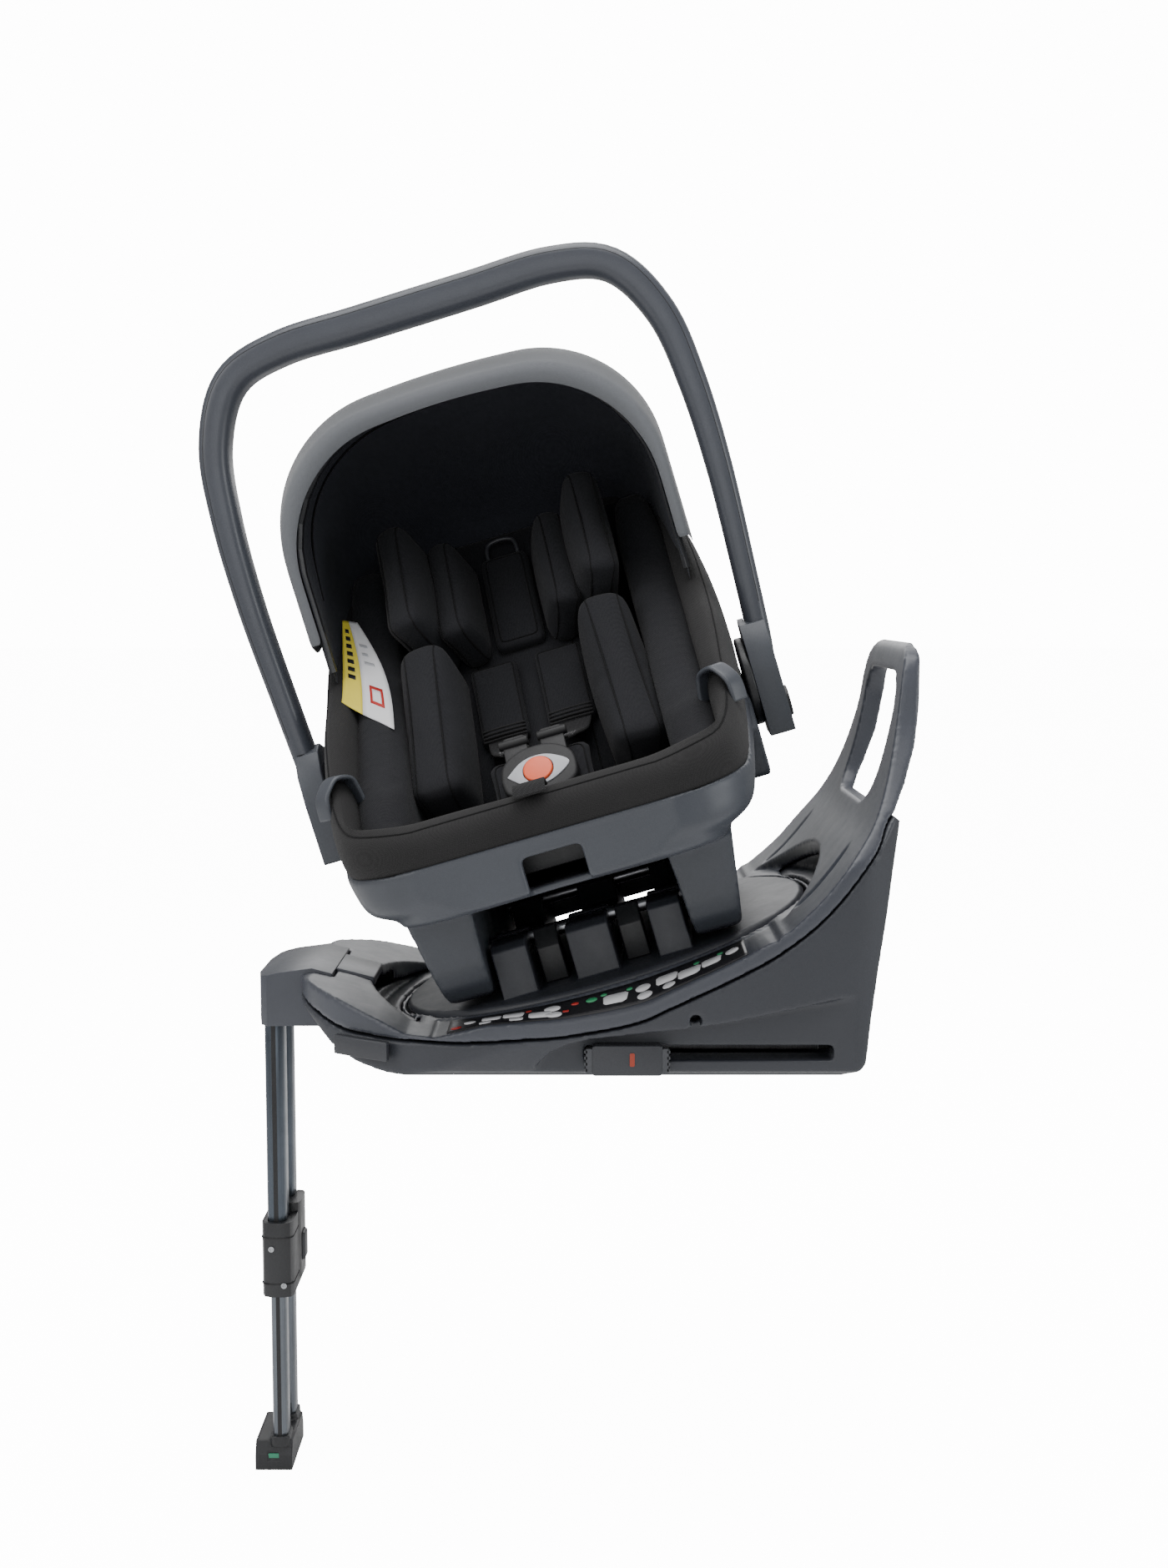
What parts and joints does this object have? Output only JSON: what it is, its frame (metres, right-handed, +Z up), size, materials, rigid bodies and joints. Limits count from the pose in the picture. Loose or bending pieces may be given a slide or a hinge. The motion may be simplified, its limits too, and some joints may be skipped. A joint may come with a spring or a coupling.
{
  "type": "infant car seat",
  "caption": "Rear-facing infant carrier with handle, canopy and harness, docked on a swivelling connector base with rebound bar and load leg.",
  "frame": {"origin": "centre of the flat underside of the base, which rests on the vehicle seat", "axes": "+Z up, +X toward the vehicle backrest and the rebound bar, load leg at -X; the docked carrier faces -Y, the door side"},
  "size_m": [0.6293, 0.6024, 1.1074],
  "materials": {
    "charcoal_plastic": "satin",
    "base_plastic": "satin",
    "black_plastic": "matte",
    "steel": "satin",
    "aluminium": "satin",
    "black_fabric": "matte",
    "rim_fabric": "matte",
    "canopy_fabric": "matte",
    "webbing": "matte",
    "orange_button": "gloss"
  },
  "bodies": {
    "base": {"base_lower_shell": "base_plastic", "base_upper_shell": "base_plastic", "leg_housing": "base_plastic", "bearing_ring": "black_plastic"},
    "front_release": {"front_release_button": "charcoal_plastic"},
    "side_release": {"side_release_lever": "charcoal_plastic"},
    "turntable": {"turntable_disc": "base_plastic"},
    "latch_left": {"dock_latch_left": "black_plastic"},
    "latch_right": {"dock_latch_right": "black_plastic"},
    "carrier": {"carrier_shell": "charcoal_plastic", "lock_bar_front": "steel", "lock_bar_rear": "steel", "hub_boss_left": "black_plastic", "hub_boss_right": "black_plastic", "seat_liner": "black_plastic", "seat_cover_rim": "rim_fabric", "side_bolster_left": "black_fabric", "side_bolster_right": "black_fabric", "backrest_pad": "black_fabric", "seat_pad": "black_fabric", "body_wing_left": "black_fabric", "body_wing_right": "black_fabric", "belt_guide_left": "charcoal_plastic", "belt_guide_right": "charcoal_plastic", "buckle_housing": "black_plastic", "crotch_pad": "black_fabric", "shoulder_strap_left": "webbing", "shoulder_strap_right": "webbing", "shoulder_pad_left": "black_fabric", "shoulder_pad_right": "black_fabric", "adjuster_strap": "webbing"},
    "buckle_release": {"buckle_button": "orange_button"},
    "headrest": {"headrest_panel": "black_fabric", "head_wing_left": "black_fabric", "head_wing_right": "black_fabric", "head_hugger_left": "black_fabric", "head_hugger_right": "black_fabric", "headrest_loop": "black_plastic"},
    "handle": {"handle_arch": "charcoal_plastic", "handle_cap_left": "charcoal_plastic", "handle_cap_right": "charcoal_plastic"},
    "handle_release_left": {"handle_button_left": "black_plastic"},
    "handle_release_right": {"handle_button_right": "black_plastic"},
    "canopy": {"canopy_bow": "black_plastic", "canopy_fabric": "canopy_fabric"},
    "isofix": {"isofix_frame": "steel", "slider_block_near": "charcoal_plastic", "slider_block_far": "charcoal_plastic", "isofix_claw_near": "black_plastic", "isofix_claw_far": "black_plastic"},
    "leg": {"leg_knuckle": "black_plastic", "upper_tube_near": "aluminium", "upper_tube_far": "aluminium", "leg_collar": "black_plastic"},
    "leg_release": {"collar_button": "charcoal_plastic"},
    "leg_lower": {"lower_tube_near": "aluminium", "lower_tube_far": "aluminium", "leg_foot": "black_plastic"}
  },
  "joints": [
    {"name": "turntable_swivel", "type": "hinge", "parent": "base", "child": "turntable", "pos_m": [0.018, 0, 0.08], "axis": [-0.284, 0, 0.9588], "range_deg": [0, 180]},
    {"name": "carrier_lift", "type": "slide", "parent": "turntable", "child": "carrier", "axis": [-0.284, 0, 0.9588], "range_m": [0, 0.25]},
    {"name": "handle_turn", "type": "hinge", "parent": "carrier", "child": "handle", "pos_m": [-0.03596, 0, 0.26218], "axis": [0.9579, -0.0436, 0.2837], "range_deg": [-60, 105]},
    {"name": "handle_button_press_left", "type": "slide", "parent": "handle", "child": "handle_release_left", "axis": [0.9579, -0.0436, 0.2837], "range_m": [0, 0.003], "stiffness_N_per_m": 400},
    {"name": "handle_button_press_right", "type": "slide", "parent": "handle", "child": "handle_release_right", "axis": [-0.9579, 0.0436, -0.2837], "range_m": [0, 0.003], "stiffness_N_per_m": 400},
    {"name": "canopy_fold", "type": "hinge", "parent": "carrier", "child": "canopy", "pos_m": [-0.06764, 0.00999, 0.37065], "axis": [0.9579, -0.0436, 0.2837], "range_deg": [-54, 0], "deforming": ["canopy_fabric"]},
    {"name": "headrest_height", "type": "slide", "parent": "carrier", "child": "headrest", "axis": [-0.1713, 0.7064, 0.6867], "range_m": [0, 0.07]},
    {"name": "buckle_press", "type": "slide", "parent": "carrier", "child": "buckle_release", "axis": [0.2211, 0.7424, -0.6324], "range_m": [0, 0.0035], "stiffness_N_per_m": 400},
    {"name": "latch_release_left", "type": "slide", "parent": "turntable", "child": "latch_left", "axis": [-0.0418, -0.999, -0.0124], "range_m": [0, 0.008], "stiffness_N_per_m": 400},
    {"name": "latch_release_right", "type": "slide", "parent": "turntable", "child": "latch_right", "axis": [-0.0418, -0.999, -0.0124], "range_m": [0, 0.008], "stiffness_N_per_m": 400},
    {"name": "front_release_press", "type": "slide", "parent": "base", "child": "front_release", "axis": [0, 0, -1], "range_m": [0, 0.0025], "stiffness_N_per_m": 400},
    {"name": "side_release_press", "type": "slide", "parent": "base", "child": "side_release", "axis": [0.5, 0.866, 0], "range_m": [0, 0.0025], "stiffness_N_per_m": 400},
    {"name": "isofix_slide", "type": "slide", "parent": "base", "child": "isofix", "axis": [1, 0, 0], "range_m": [0, 0.13]},
    {"name": "leg_fold", "type": "hinge", "parent": "base", "child": "leg", "pos_m": [-0.279, 0, 0.044], "axis": [0, -1, 0], "range_deg": [0, 65]},
    {"name": "collar_button_press", "type": "slide", "parent": "leg", "child": "leg_release", "axis": [-1, 0, 0], "range_m": [0, 0.002], "stiffness_N_per_m": 400},
    {"name": "leg_extend", "type": "slide", "parent": "leg", "child": "leg_lower", "axis": [0, 0, -1], "range_m": [-0.085, 0.06]}
  ]
}
